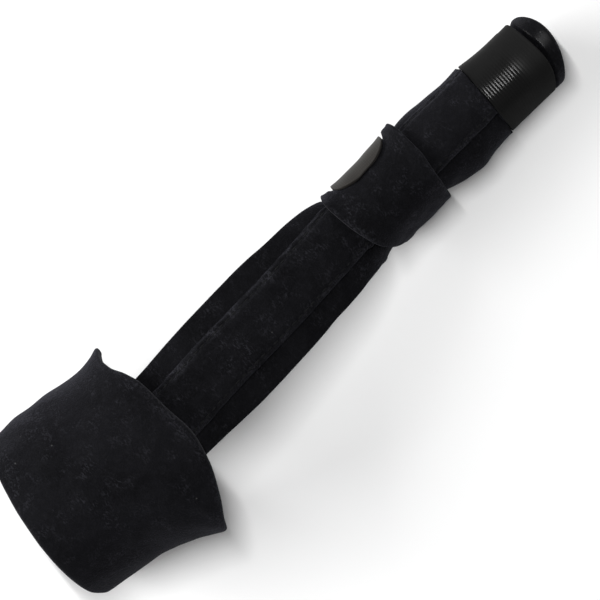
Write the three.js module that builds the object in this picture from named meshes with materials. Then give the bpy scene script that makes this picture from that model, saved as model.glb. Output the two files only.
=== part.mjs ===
// Wrist and finger brace: a padded strip with a stiff core runs out of a wrist cuff, and further on its wings
// close round as a finger sleeve, under a strap and a woven tape.
// Millimetres. +X runs from the cuff to the tip, +Y to the left side and +Z up, out of the brace's front. It
// lies on its back, flattened at Z = 0 where it rests, with the origin under the middle of its box.

import * as THREE from "three";

// Cloth thicknesses, and the clearance kept between two layers.
const CUFF_CLOTH = 3;
const PAD_CLOTH = 2.2;
const POCKET_RISE = 1.8;
const STRAP_CLOTH = 2;
const TAPE = 1;
const GAP = 0.35;

// Where the strap and the tape lie under it, the splint's back stays off the ground by their thickness.
const UNDER_STRAP = GAP + STRAP_CLOTH;
const UNDER_TAPE = GAP + TAPE;

// Share of the cloth's thickness that is left at a rounded edge, and the length of that rounding.
const EDGE_SHARE = 0.45;
const EDGE_LENGTH = 0.9;

// The splint: the ovals that the strip and the finger sleeve follow. mid is the place of the centre line, top
// the height of the cloth's outer face, rest how far its back stays off the ground, wing the cloth's distance
// from the centre line to its edge, and pocketMid the pocket's place to the left of the centre line.
const SPLINT_START = -91;
const SPLINT_TIP = 104.4;

const SPLINT = table("x mid halfBreadth halfDepth top rest wing pocketMid", [
  [-91, 1.0, 22.0, 17.0, 35.4, UNDER_STRAP, 15.0, -0.6],
  [-70, 1.2, 23.0, 17.0, 36.4, UNDER_STRAP, 15.4, -0.5],
  [-48, 1.4, 25.0, 18.0, 35.6, UNDER_STRAP, 15.7, -0.2],
  [-27, 1.9, 36.0, 20.0, 32.6, UNDER_STRAP, 16.1, 0.4],
  [-7, 2.5, 38.0, 20.0, 29.4, UNDER_STRAP, 15.9, 0.2],
  [6, 2.8, 32.0, 18.5, 27.2, UNDER_STRAP, 15.2, 0.6],
  [16, 2.9, 19.5, 13.8, 25.3, UNDER_STRAP, 15.2, 1.1],
  [23, 2.4, 13.6, 11.5, 24.0, UNDER_STRAP, 15.9, 2.2],
  [25.3, 1.6, 11.7, 10.9, 23.7, UNDER_STRAP, 18.0, 2.65],
  [27, 1.8, 11.1, 10.7, 23.5, UNDER_STRAP, 20.0, 3.0],
  [32, 1.9, 10.5, 10.5, 23.0, UNDER_STRAP, 26.0, 3.1],
  [41, 2.3, 10.6, 10.5, 22.6, UNDER_STRAP, 29.5, 2.9],
  [51.6, 2.7, 10.9, 10.4, 22.3, UNDER_STRAP, 30.5, 2.8],
  [53.4, 3.2, 12.0, 10.4, 22.3, 2.0, 32.0, 2.5],
  [58, 2.7, 12.6, 10.5, 22.4, 1.4, 32.5, 3.1],
  [64, 2.1, 13.0, 10.3, 21.9, 1.2, 33.0, 3.8],
  [70, 2.3, 12.5, 10.2, 21.6, 1.2, 32.0, 3.6],
  [76.7, 2.55, 12.45, 10.1, 21.3, 1.2, 31.5, 3.5],
  [77, 2.1, 10.25, 9.5, 19.7, UNDER_TAPE, 28.2, 3.6],
  [90, 1.35, 9.65, 9.4, 19.6, UNDER_TAPE, 27.4, 3.8],
  [97, 1.3, 9.7, 9.3, 19.5, UNDER_TAPE, 27.0, 3.9],
  [99.5, 1.8, 10.2, 9.4, 19.5, UNDER_TAPE, 27.0, 3.7],
  [104.4, 1.8, 10.2, 9.4, 19.4, UNDER_TAPE, 27.0, 3.7],
]);

// The strip's two rounded ends: how much cloth is cut away, and over which width. The tip reaches furthest a
// little to the left. Its sections slant from TIP_SLANT_FROM on, until the one at TIP_NECK runs along the
// tape's rim. Past that one the cloth is free, and swells.
const TIP_CUT = 9.5;
const START_CUT = 5;
const CUT_WIDTH = 16.5;
const TIP_CUT_MID = 2.9;
const TIP_SLANT_FROM = 84;
const TIP_NECK = 98;
const TIP_SWELL = 1.25;
const TIP_SWELL_LENGTH = 1;
const START_CUT_TO = -76;

// The raised pocket: half its width, its ends, how square its crown is and how thin its sewn edges are. A
// layer that is wrapped tightly over it slopes down from its crown to the cloth beside it.
const POCKET_HALF = 8.7;
const POCKET_START = -87;
const POCKET_TIP = 97;
const POCKET_CROWN = 6;
const POCKET_EDGE = 0.6;
const SLOPE_FROM = 5.5;
const SLOPE_TO = 15.5;

// The finger strap: the distance where it starts, and its rims at each distance. It is wide where it starts
// on the left, crosses the pocket, narrows on the right and comes back round the underside to its start.
const STRAP_START = 22.5;
const STRAP_SLIT = 1.6;
const STRAP_MIDDLE = 40;

const STRAP = table("distance low high", [
  [-42, 32.8, 51.2],
  [-26, 32.8, 51.2],
  [-16, 32.4, 51.4],
  [-12, 29.8, 51.6],
  [-5, 25.8, 52.2],
  [2, 23.7, 53.6],
  [8, 23.2, 53.6],
  [16, 24.6, 52.4],
  [23, 25.0, 52.2],
]);

// The left side of the strap: how far its upper rim stands out there and how much thicker it is, between
// which places that roll grows from none, the width of a rim's bead, and how much thinner the tab presses the
// cloth between the rims.
const RIM_LIFT = 0.4;
const RIM_ROLL = 0.45;
const ROLL_FROM = 30;
const ROLL_TO = 46;
const RIM_BEAD_FROM = 2.5;
const RIM_BEAD_TO = 3.6;
const PRESSED = 0.7;
const TAB_SIDE = 15;
const TAB_SIDE_WIDTH = 8;

// The hook tab on the strap's end: its tip's place, its length, half its width, and how long its round
// corners are. A tab's tip is cut straight over a share of its width. TAB_CORNER says how full the corners
// beside that are.
const TAB_END_SHARE = 0.2;
const TAB_CORNER = 2.5;
const FINGER_TAB_TIP = 7.4;
const FINGER_TAB_LENGTH = 17.5;
const FINGER_TAB_HALF = 10.1;
const FINGER_TAB_ROUND = 4.5;
const FINGER_TAB_X = 38.4;

// The fingertip tape: where it starts and ends, and the distance in which it climbs onto its own start.
const TIP_TAPE_START = 20;
const TIP_TAPE_END = 15;
const TIP_TAPE_CLIMB = 6;
const TIP_TAPE_MIDDLE = 88;

// The section in which the sleeve is pulled in beside the tape, and how far along its neighbours lean too.
const SHOULDER = 77;
const SHOULDER_REACH = 7;

const TIP_TAPE = table("distance low high", [
  [-45, 79.0, 94.0],
  [-40, 79.2, 93.9],
  [-30, 78.2, 93.7],
  [-20, 77.4, 93.4],
  [-12, 77.1, 95.0],
  [0, 77.7, 98.2],
  [10, 78.6, 97.6],
  [20, 79.2, 96.2],
  [30, 78.2, 96.2],
]);

// The wrist cuff, in a frame of its own: x runs through its opening, and turn is the angle round it from the
// top towards the right side, in degrees. It leans to the left of the splint's line.
const CUFF_X = -57;
const CUFF_Y = -0.9;
const CUFF_LEAN = 9.4;
const CUFF_SINK = 1.5;
const CUFF_SLIT_TURN = 128;
const CUFF_SLIT = 1.4;

// The oval along the cuff: the place of its middle, half its breadth, and the height of its top.
const CUFF = table("x mid halfBreadth top", [
  [-45, 0.0, 26.6, 42.7],
  [-38, 0.4, 27.7, 43.3],
  [-30, 0.8, 28.0, 43.5],
  [-20, 0.8, 28.0, 43.5],
  [-14, 0.3, 28.5, 43.5],
  [-8, -0.2, 29.6, 43.2],
  [-3, -0.2, 31.4, 42.7],
  [0, -0.1, 32.7, 42.3],
  [10, 0.0, 33.5, 41.2],
]);

// Both rims of the cuff at each turn: it is widest on top and narrows to a strap underneath.
const CUFF_RIM = table("turn front rear", [
  [-180, -2.0, -38.0],
  [-130, -2.0, -38.4],
  [-90, 0.4, -39.8],
  [-66, -0.6, -42.0],
  [-52, 0.3, -43.0],
  [-40, 3.1, -43.6],
  [-30, 5.2, -44.0],
  [-12, 7.0, -44.6],
  [8, 9.2, -44.7],
  [22, 8.4, -44.4],
  [45, 5.0, -43.2],
  [65, 2.0, -41.6],
  [90, 0.6, -38.6],
  [130, -1.6, -38.2],
  [180, -2.0, -38.0],
]);

// The hook tab that closes the cuff, low on the right side.
const CUFF_TAB_TIP_TURN = 112;
const CUFF_TAB_END_TURN = 146;
const CUFF_TAB_X = -20;
const CUFF_TAB_HALF = 15;
const CUFF_TAB_ROUND = 11;
const CUFF_TAB_LENGTH = 16;

// The middle of the brace's box, which the origin stands under.
const MIDDLE_X = 0.87;
const MIDDLE_Y = -0.11;

// Facets: the pitch along the splint that its layers share, and the steps round or across each other cloth.
const SPLINT_PITCH = 4.2;
const OVAL_STEPS = 90;
const STEPS = {
  padAcross: 16,
  pocketAcross: 6,
  strapRound: 32,
  strapAcross: 9,
  tabAlong: 10,
  tabAcross: 6,
  tapeRound: 36,
  tapeAcross: 4,
  cuffRound: 50,
  cuffAcross: 7,
};

// A table with named columns, read anywhere between its rows along a curve that never overshoots them.
function table(names, rows) {
  const keys = names.split(" ");
  const places = rows.map((row) => row[0]);
  return (name, at) => {
    const values = rows.map((row) => row[keys.indexOf(name)]);
    return curveThrough(places, values, at);
  };
}

function curveThrough(places, values, at) {
  const last = places.length - 1;
  if (at <= places[0]) return values[0];
  if (at >= places[last]) return values[last];
  const i = places.findIndex((place) => place > at) - 1;
  const slope = (k) => (values[k + 1] - values[k]) / (places[k + 1] - places[k]);
  const tangent = (k) => {
    if (k === 0) return slope(0);
    if (k === last) return slope(last - 1);
    const before = slope(k - 1);
    const after = slope(k);
    return before * after <= 0 ? 0 : (2 * before * after) / (before + after);
  };
  const width = places[i + 1] - places[i];
  const u = (at - places[i]) / width;
  const ease = u * u * (3 - 2 * u);
  const lead = u * (1 - u) * (1 - u) * tangent(i);
  const trail = u * u * (1 - u) * tangent(i + 1);
  return values[i] + (values[i + 1] - values[i]) * ease + (lead - trail) * width;
}

const mix = (from, to, share) => from + (to - from) * share;
const smoothstep = THREE.MathUtils.smoothstep;

// An oval cross-section. Places on it are found by the cloth's distance round from its top, or by angle.
function oval(halfBreadth, halfDepth) {
  const step = Math.PI / OVAL_STEPS;
  const distances = [0];
  for (let i = 0; i < OVAL_STEPS; i++) {
    const angle = (i + 0.5) * step;
    const speed = Math.hypot(halfBreadth * Math.cos(angle), halfDepth * Math.sin(angle));
    distances.push(distances[i] + speed * step);
  }
  const halfRound = distances[OVAL_STEPS];
  return {
    halfRound,
    angleAt(distance) {
      const size = Math.abs(distance);
      const halves = Math.floor(size / halfRound);
      const rest = size - halves * halfRound;
      const i = Math.max(0, distances.findIndex((d) => d > rest) - 1);
      const part = (rest - distances[i]) / (distances[i + 1] - distances[i]);
      return Math.sign(distance) * (halves * Math.PI + (i + part) * step);
    },
    // Sideways and upward from the oval's centre, at a height off its surface.
    pointAt(angle, height) {
      const out = new THREE.Vector2(Math.sin(angle) / halfBreadth, Math.cos(angle) / halfDepth);
      out.setLength(height);
      return new THREE.Vector2(halfBreadth * Math.sin(angle), halfDepth * Math.cos(angle)).add(out);
    },
  };
}

// Shares from 0 to 1 in even steps, with a close pair at each end for a rounded edge.
function stations(steps, length) {
  const edge = EDGE_LENGTH / length;
  const even = Array.from({ length: steps + 1 }, (_, i) => edge + ((1 - 2 * edge) * i) / steps);
  return [0, ...even, 1];
}

// A closed solid of cloth, over the places listed along and across it. place(p, q, share) gives the point at
// p along and q across, where share runs through the thickness from the inner face, 0, to the outer face, 1.
function clothSolid(along, across, place) {
  const columns = across.length;
  const faceSize = along.length * columns;
  const points = [];
  const isEdge = (stationList, i) => i === 0 || i === stationList.length - 1;
  for (const face of [1, -1]) {
    along.forEach((p, i) => {
      across.forEach((q, j) => {
        const thickness = isEdge(along, i) || isEdge(across, j) ? EDGE_SHARE : 1;
        points.push(...place(p, q, 0.5 + (face * thickness) / 2).toArray());
      });
    });
  }
  const triangles = [];
  const quad = (a, b, c, d) => triangles.push(a, b, c, a, c, d);
  const outer = (i, j) => i * columns + j;
  const inner = (i, j) => faceSize + outer(i, j);
  const lastRow = along.length - 1;
  const lastColumn = columns - 1;
  for (let i = 0; i < lastRow; i++) {
    for (let j = 0; j < lastColumn; j++) {
      quad(outer(i, j), outer(i + 1, j), outer(i + 1, j + 1), outer(i, j + 1));
      quad(inner(i, j), inner(i, j + 1), inner(i + 1, j + 1), inner(i + 1, j));
    }
    quad(outer(i, 0), inner(i, 0), inner(i + 1, 0), outer(i + 1, 0));
    quad(outer(i, lastColumn), outer(i + 1, lastColumn), inner(i + 1, lastColumn), inner(i, lastColumn));
  }
  for (let j = 0; j < lastColumn; j++) {
    quad(outer(0, j), outer(0, j + 1), inner(0, j + 1), inner(0, j));
    quad(outer(lastRow, j), inner(lastRow, j), inner(lastRow, j + 1), outer(lastRow, j + 1));
  }
  if (enclosedVolume(points, triangles) < 0) triangles.reverse();
  const geometry = new THREE.BufferGeometry();
  geometry.setAttribute("position", new THREE.Float32BufferAttribute(points, 3));
  geometry.setIndex(triangles);
  geometry.computeVertexNormals();
  return geometry;
}

function enclosedVolume(points, triangles) {
  const corner = (k) => new THREE.Vector3().fromArray(points, triangles[k] * 3);
  let volume = 0;
  for (let k = 0; k < triangles.length; k += 3) {
    volume += corner(k).dot(corner(k + 1).cross(corner(k + 2))) / 6;
  }
  return volume;
}

const VELOUR = { color: 0x15151a, roughness: 0.95, metalness: 0 };
const WOVEN_TAPE = { color: 0x202120, roughness: 0.42, metalness: 0 };
const HOOK_TAPE = { color: 0x4b4945, roughness: 0.5, metalness: 0 };

function piece(name, geometry, finish) {
  const mesh = new THREE.Mesh(geometry, new THREE.MeshStandardMaterial(finish));
  mesh.name = name;
  return mesh;
}

// The sleeve's sections beside the tape lean with the tape's low rim.
function shoulderLean(x, distance) {
  const away = (x - SHOULDER) / SHOULDER_REACH;
  return (TIP_TAPE("low", distance) - SHOULDER) * Math.exp(-away * away);
}

// A point on the splint, at a cloth distance to the left and a height off the cloth's outer face.
function onSplint(x, distance, height) {
  const upright = x - shoulderLean(x, distance);
  const section = oval(SPLINT("halfBreadth", upright), SPLINT("halfDepth", upright));
  const point = section.pointAt(section.angleAt(distance), height);
  const centre = SPLINT("top", upright) - SPLINT("halfDepth", upright);
  const z = Math.max(centre + point.y, SPLINT("rest", upright) - height);
  return new THREE.Vector3(x, SPLINT("mid", upright) + point.x, z);
}

// The strip's two ends are rounded: cloth is cut away with distance from the middle of each end.
function endCut(fromMiddle) {
  const aside = fromMiddle / CUT_WIDTH;
  return 1 - Math.exp(-aside * aside);
}

function roundedEnds(x, distance) {
  const atStart = 1 - smoothstep(x, SPLINT_START, START_CUT_TO);
  const startShift = START_CUT * endCut(distance) * atStart;
  const neckShift = TIP_TAPE("high", distance) + GAP - TIP_NECK;
  const tipShift = -TIP_CUT * endCut(distance - TIP_CUT_MID);
  const pastNeck = Math.max(0, (x - TIP_NECK) / (SPLINT_TIP - TIP_NECK));
  const tipLean = mix(neckShift * smoothstep(x, TIP_SLANT_FROM, TIP_NECK), tipShift, pastNeck);
  return x + startShift + shoulderLean(x, distance) + tipLean;
}

function tipSwell(x) {
  return TIP_SWELL * smoothstep(x, TIP_NECK, TIP_NECK + TIP_SWELL_LENGTH);
}

// Places along the splint, on a pitch that its layers share, so that their facets lie over each other.
function splintStations(from, to) {
  const between = [];
  for (let x = SPLINT_START + SPLINT_PITCH; x < to - SPLINT_PITCH / 2; x += SPLINT_PITCH) {
    if (x > from + SPLINT_PITCH / 2) between.push(x);
  }
  return [from, from + EDGE_LENGTH, ...between, to - EDGE_LENGTH, to];
}

// Strip and finger sleeve in one cloth: a flat strip, whose wings bend down and close round.
function splintPad() {
  const along = splintStations(SPLINT_START, SPLINT_TIP);
  const across = stations(STEPS.padAcross, 2 * SPLINT("wing", STRAP_MIDDLE));
  return clothSolid(along, across, (x, q, share) => {
    const distance = mix(-1, 1, q) * SPLINT("wing", x);
    return onSplint(roundedEnds(x, distance), distance, tipSwell(x) + mix(-PAD_CLOTH, 0, share));
  });
}

// The raised pocket for the stiff core, sewn down the strip along both of its edges.
function pocketRise(x, distance) {
  const aside = Math.abs(distance - SPLINT("pocketMid", x)) / POCKET_HALF;
  const crown = Math.sqrt(1 - Math.pow(Math.min(aside, 1), POCKET_CROWN));
  return Math.max(POCKET_RISE * crown, POCKET_EDGE);
}

function stayPocket() {
  const along = splintStations(POCKET_START, POCKET_TIP);
  const across = stations(STEPS.pocketAcross, 2 * POCKET_HALF);
  return clothSolid(along, across, (x, q, share) => {
    const distance = SPLINT("pocketMid", x) + mix(-POCKET_HALF, POCKET_HALF, q);
    const height = GAP + pocketRise(x, distance) * share;
    return onSplint(x + shoulderLean(x, distance), distance, height);
  });
}

// How far the pocket lifts a layer that is wrapped over it.
function overPocket(x, distance) {
  const aside = Math.abs(distance - SPLINT("pocketMid", x));
  return (GAP + POCKET_RISE) * (1 - smoothstep(aside, SLOPE_FROM, SLOPE_TO));
}

// Heights through the finger strap, at a distance from its nearer rim: on the left the tab presses its middle
// thinner, its rims stay full, and the upper one stands out as a bead.
function strapHeight(x, distance, fromRim, share) {
  const aside = (distance - TAB_SIDE) / TAB_SIDE_WIDTH;
  const atTab = Math.exp(-aside * aside);
  const bead = 1 - smoothstep(fromRim, RIM_BEAD_FROM, RIM_BEAD_TO);
  const roll = smoothstep(x, ROLL_FROM, ROLL_TO);
  const cloth = STRAP_CLOTH + atTab * mix(-PRESSED, RIM_ROLL * roll, bead);
  return GAP + overPocket(x, distance) + RIM_LIFT * roll * atTab * bead + cloth * share;
}

function strapRound() {
  return 2 * oval(SPLINT("halfBreadth", STRAP_MIDDLE), SPLINT("halfDepth", STRAP_MIDDLE)).halfRound;
}

function fingerStrap() {
  const start = STRAP_START;
  const end = STRAP_START + STRAP_SLIT - strapRound();
  const along = stations(STEPS.strapRound, start - end);
  const across = stations(STEPS.strapAcross, STRAP("high", 0) - STRAP("low", 0));
  return clothSolid(along, across, (p, q, share) => {
    const distance = mix(start, end, p);
    const x = mix(STRAP("low", distance), STRAP("high", distance), q);
    const fromRim = Math.min(x - STRAP("low", distance), STRAP("high", distance) - x);
    return onSplint(x, distance, strapHeight(x, distance, fromRim, share));
  });
}

// Half the width of a tab with a round end, at a distance from the tip of that end.
function tabHalfWidth(halfWidth, roundLength, fromTip) {
  const short = 1 - Math.min(fromTip / roundLength, 1);
  const corner = Math.pow(1 - Math.pow(short, TAB_CORNER), 1 / TAB_CORNER);
  return halfWidth * Math.max(corner, TAB_END_SHARE);
}

// The hook tab on the strap's end: it bridges the slit and lies on the strap's start with its round end.
function fingerTab() {
  const along = stations(STEPS.tabAlong, FINGER_TAB_LENGTH);
  const across = stations(STEPS.tabAcross, 2 * FINGER_TAB_HALF);
  return clothSolid(along, across, (p, q, share) => {
    const fromTip = p * FINGER_TAB_LENGTH;
    const distance = FINGER_TAB_TIP + fromTip;
    const half = tabHalfWidth(FINGER_TAB_HALF, FINGER_TAB_ROUND, fromTip);
    const x = FINGER_TAB_X + mix(-half, half, q);
    return onSplint(x, distance, strapHeight(x, distance, RIM_BEAD_TO, 1) + GAP + TAPE * share);
  });
}

// The fingertip tape: it starts low on the left, goes once round and ends over its own start.
function tipTapeRound() {
  return 2 * oval(SPLINT("halfBreadth", TIP_TAPE_MIDDLE), SPLINT("halfDepth", TIP_TAPE_MIDDLE)).halfRound;
}

function tipTape() {
  const end = TIP_TAPE_END - tipTapeRound();
  const overlapFrom = TIP_TAPE_START - tipTapeRound();
  const along = stations(STEPS.tapeRound, TIP_TAPE_START - end);
  const across = stations(STEPS.tapeAcross, TIP_TAPE("high", 0) - TIP_TAPE("low", 0));
  return clothSolid(along, across, (p, q, share) => {
    const distance = mix(TIP_TAPE_START, end, p);
    const x = mix(TIP_TAPE("low", distance), TIP_TAPE("high", distance), q);
    const climb = 1 - smoothstep(distance, overlapFrom, overlapFrom + TIP_TAPE_CLIMB);
    const height = GAP + overPocket(x, distance) + (TAPE + GAP) * climb;
    return onSplint(x, distance, height + TAPE * share);
  });
}

// A point on the cuff, at a turn round it and a height off its outer face. It is flat where it rests.
function onCuff(x, turn, height) {
  const halfDepth = (CUFF("top", x) + CUFF_SINK) / 2;
  const section = oval(CUFF("halfBreadth", x), halfDepth);
  const point = section.pointAt(THREE.MathUtils.degToRad(turn), height);
  const z = Math.max(point.y + halfDepth - CUFF_SINK, -height);
  return new THREE.Vector3(x, CUFF("mid", x) - point.x, z);
}

const withinTurn = (turn) => THREE.MathUtils.euclideanModulo(turn + 180, 360) - 180;

function wristCuff() {
  const roundLength = Math.PI * (CUFF("halfBreadth", CUFF_TAB_X) + CUFF("top", CUFF_TAB_X) / 2);
  const along = stations(STEPS.cuffRound, roundLength);
  const across = stations(STEPS.cuffAcross, CUFF_RIM("front", 0) - CUFF_RIM("rear", 0));
  return clothSolid(along, across, (p, q, share) => {
    const turn = CUFF_SLIT_TURN + mix(CUFF_SLIT / 2, 360 - CUFF_SLIT / 2, p);
    const x = mix(CUFF_RIM("rear", withinTurn(turn)), CUFF_RIM("front", withinTurn(turn)), q);
    return onCuff(x, turn, mix(-CUFF_CLOTH, 0, share));
  });
}

// The cuff's hook tab: it bridges the slit and ends round.
function cuffTab() {
  const along = stations(STEPS.tabAlong, CUFF_TAB_LENGTH);
  const across = stations(STEPS.tabAcross, 2 * CUFF_TAB_HALF);
  return clothSolid(along, across, (p, q, share) => {
    const turn = mix(CUFF_TAB_TIP_TURN, CUFF_TAB_END_TURN, p);
    const half = tabHalfWidth(CUFF_TAB_HALF, CUFF_TAB_ROUND, p * CUFF_TAB_LENGTH);
    return onCuff(CUFF_TAB_X + mix(-half, half, q), turn, GAP + TAPE * share);
  });
}

const cuff = new THREE.Group();
cuff.position.set(CUFF_X, CUFF_Y, 0);
cuff.rotation.z = THREE.MathUtils.degToRad(-CUFF_LEAN);
cuff.add(piece("wrist_cuff", wristCuff(), VELOUR));
cuff.add(piece("cuff_tab", cuffTab(), HOOK_TAPE));

const brace = new THREE.Group();
brace.position.set(-MIDDLE_X, -MIDDLE_Y, 0);
brace.add(cuff);
brace.add(piece("splint_pad", splintPad(), VELOUR));
brace.add(piece("stay_pocket", stayPocket(), VELOUR));
brace.add(piece("finger_strap", fingerStrap(), VELOUR));
brace.add(piece("finger_tab", fingerTab(), HOOK_TAPE));
brace.add(piece("tip_tape", tipTape(), WOVEN_TAPE));

export default brace;
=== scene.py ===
import math

import bpy
import numpy as np
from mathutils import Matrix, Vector


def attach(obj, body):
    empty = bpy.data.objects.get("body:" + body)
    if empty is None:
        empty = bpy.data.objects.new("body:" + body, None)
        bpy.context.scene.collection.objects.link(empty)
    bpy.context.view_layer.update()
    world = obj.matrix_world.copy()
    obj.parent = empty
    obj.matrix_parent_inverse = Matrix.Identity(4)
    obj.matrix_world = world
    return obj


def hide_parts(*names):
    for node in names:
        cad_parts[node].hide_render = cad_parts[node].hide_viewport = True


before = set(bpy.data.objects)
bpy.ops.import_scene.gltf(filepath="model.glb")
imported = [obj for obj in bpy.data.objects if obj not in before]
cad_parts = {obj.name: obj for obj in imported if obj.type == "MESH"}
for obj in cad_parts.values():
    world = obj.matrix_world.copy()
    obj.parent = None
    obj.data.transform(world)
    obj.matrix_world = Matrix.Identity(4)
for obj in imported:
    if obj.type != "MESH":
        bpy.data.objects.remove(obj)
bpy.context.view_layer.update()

# The strip and its sleeve, one piece of padded cloth: black brushed velour on both sides of thin foam. It
# is cut as a long strip that runs out of the cuff, and further on its wings are bent down and close round
# as a finger sleeve. Its edges are cut through the foam and left raw.
MM = 0.001
BODY = "root"
LAYER_GAP = 0.35 * MM
PAD_CLOTH = 2.2 * MM
PAD_EDGE = 1.3 * MM
PAD_PITCH = 0.8 * MM
EDGE_STEPS = 6
WING_EDGE = 0.08
WING_STEPS = 84

# The middle of the brace's box, where the frame's origin is, measured along and across the strip.
MIDDLE = (0.87 * MM, -0.11 * MM)

# The strip's cut: its two ends, how far their corners are rounded off, and beside the tape its shoulder,
# its neck and the swell past it.
STRIP_START = -91 * MM
STRIP_TIP = 104.4 * MM
START_CUT = 5 * MM
START_CUT_TO = -76 * MM
CUT_WIDTH = 16.5 * MM
TIP_CUT = 9.5 * MM
TIP_CUT_MID = 2.9 * MM
TIP_SLANT_FROM = 84 * MM
TIP_NECK = 98 * MM
TIP_SWELL = 1.25 * MM
TIP_SWELL_LENGTH = 1 * MM
SHOULDER = 77 * MM
SHOULDER_REACH = 7 * MM
SHOULDER_STATIONS = [SHOULDER - 0.3 * MM, SHOULDER - 0.15 * MM]

# The strip's unevenness: where the cuff and the tape hold it smooth, the depth and length of its waves, its
# puckers beside the strap and the tape, and the worn place at its tip.
HELD_BY_CUFF_TO = -52 * MM
FREE_FROM = -36 * MM
TAUT_FROM = 74 * MM
TAUT_TO = 79 * MM
BROAD_SAG = 0.22 * MM
BROAD_LENGTH = 34 * MM
FINE_SAG = 0.07 * MM
FINE_LENGTH = 9 * MM
PUCKER_DEPTH = 0.16 * MM
PUCKER_SCALE = 1.9 * MM
PUCKER_DRIFT = 21 * MM
PUCKERS_LOW = 57 * MM
PUCKERS_HIGH = 73 * MM
PUCKERS_REACH = 4 * MM
WORN_LENGTH = 2 * MM
WORN_MIDDLE = 3 * MM
WORN_WIDTH = 8 * MM


class Table:
    """Rows of named columns, read anywhere between them along curves that never overshoot the rows."""

    def __init__(self, names, rows, first_unit=MM):
        units = [first_unit] + [MM] * (len(rows[0]) - 1)
        self.columns = dict(zip(names.split(), (np.array(rows, float) * units).T))
        self.places = self.columns[names.split()[0]]

    def __call__(self, name, at):
        places, values = self.places, self.columns[name]
        slopes = np.diff(values) / np.diff(places)
        product = slopes[:-1] * slopes[1:]
        total = np.where(product > 0, slopes[:-1] + slopes[1:], 1)
        inner = np.where(product > 0, 2 * product / total, 0)
        tangents = np.concatenate([slopes[:1], inner, slopes[-1:]])
        at = np.clip(at, places[0], places[-1])
        i = np.clip(np.searchsorted(places, at, side="right") - 1, 0, len(places) - 2)
        width = places[i + 1] - places[i]
        u = (at - places[i]) / width
        ease = u * u * (3 - 2 * u)
        lead = u * (1 - u) ** 2 * tangents[i]
        trail = u * u * (1 - u) * tangents[i + 1]
        return values[i] + (values[i + 1] - values[i]) * ease + (lead - trail) * width


# The ovals that the strip and the sleeve follow: the centre line's place, half their breadth and depth,
# the height of the cloth's outer face, how far the back stays off the ground, the cloth's reach to each
# side, and how far to the left of the centre line the raised pocket lies.
STRIP = Table("x mid half_breadth half_depth top rest wing pocket_mid", [
    [-91, 1.0, 22.0, 17.0, 35.4, 2.35, 15.0, -0.6],
    [-70, 1.2, 23.0, 17.0, 36.4, 2.35, 15.4, -0.5],
    [-48, 1.4, 25.0, 18.0, 35.6, 2.35, 15.7, -0.2],
    [-27, 1.9, 36.0, 20.0, 32.6, 2.35, 16.1, 0.4],
    [-7, 2.5, 38.0, 20.0, 29.4, 2.35, 15.9, 0.2],
    [6, 2.8, 32.0, 18.5, 27.2, 2.35, 15.2, 0.6],
    [16, 2.9, 19.5, 13.8, 25.3, 2.35, 15.2, 1.1],
    [23, 2.4, 13.6, 11.5, 24.0, 2.35, 15.9, 2.2],
    [25.3, 1.6, 11.7, 10.9, 23.7, 2.35, 18.0, 2.65],
    [27, 1.8, 11.1, 10.7, 23.5, 2.35, 20.0, 3.0],
    [32, 1.9, 10.5, 10.5, 23.0, 2.35, 26.0, 3.1],
    [41, 2.3, 10.6, 10.5, 22.6, 2.35, 29.5, 2.9],
    [51.6, 2.7, 10.9, 10.4, 22.3, 2.35, 30.5, 2.8],
    [53.4, 3.2, 12.0, 10.4, 22.3, 2.0, 32.0, 2.5],
    [58, 2.7, 12.6, 10.5, 22.4, 1.4, 32.5, 3.1],
    [64, 2.1, 13.0, 10.3, 21.9, 1.2, 33.0, 3.8],
    [70, 2.3, 12.5, 10.2, 21.6, 1.2, 32.0, 3.6],
    [76.7, 2.55, 12.45, 10.1, 21.3, 1.2, 31.5, 3.5],
    [77, 2.1, 10.25, 9.5, 19.7, 1.35, 28.2, 3.6],
    [90, 1.35, 9.65, 9.4, 19.6, 1.35, 27.4, 3.8],
    [97, 1.3, 9.7, 9.3, 19.5, 1.35, 27.0, 3.9],
    [99.5, 1.8, 10.2, 9.4, 19.5, 1.35, 27.0, 3.7],
    [104.4, 1.8, 10.2, 9.4, 19.4, 1.35, 27.0, 3.7],
])

# Both rims of the tape wound round the sleeve, at each cloth distance to the left of the centre line.
TIP_TAPE = Table("distance low high", [
    [-45, 79.0, 94.0],
    [-40, 79.2, 93.9],
    [-30, 78.2, 93.7],
    [-20, 77.4, 93.4],
    [-12, 77.1, 95.0],
    [0, 77.7, 98.2],
    [10, 78.6, 97.6],
    [20, 79.2, 96.2],
    [30, 78.2, 96.2],
])


def smoothstep(value, start, end):
    u = np.clip((value - start) / (end - start), 0, 1)
    return u * u * (3 - 2 * u)


def bell(value, middle, width):
    return np.exp(-(((value - middle) / width) ** 2))


def waves(u, v, length, seed):
    """Soft unevenness, mostly between -1 and 1: waves of about one length, in fixed random directions."""
    random = np.random.default_rng(seed)
    count = 7
    total = 0
    for _ in range(count):
        way = random.uniform(0, 2 * math.pi)
        turns = random.uniform(0.7, 1.5) * 2 * math.pi / length
        phase = random.uniform(0, 2 * math.pi)
        total = total + np.sin(turns * (u * math.cos(way) + v * math.sin(way)) + phase)
    return total / math.sqrt(count)


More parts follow.
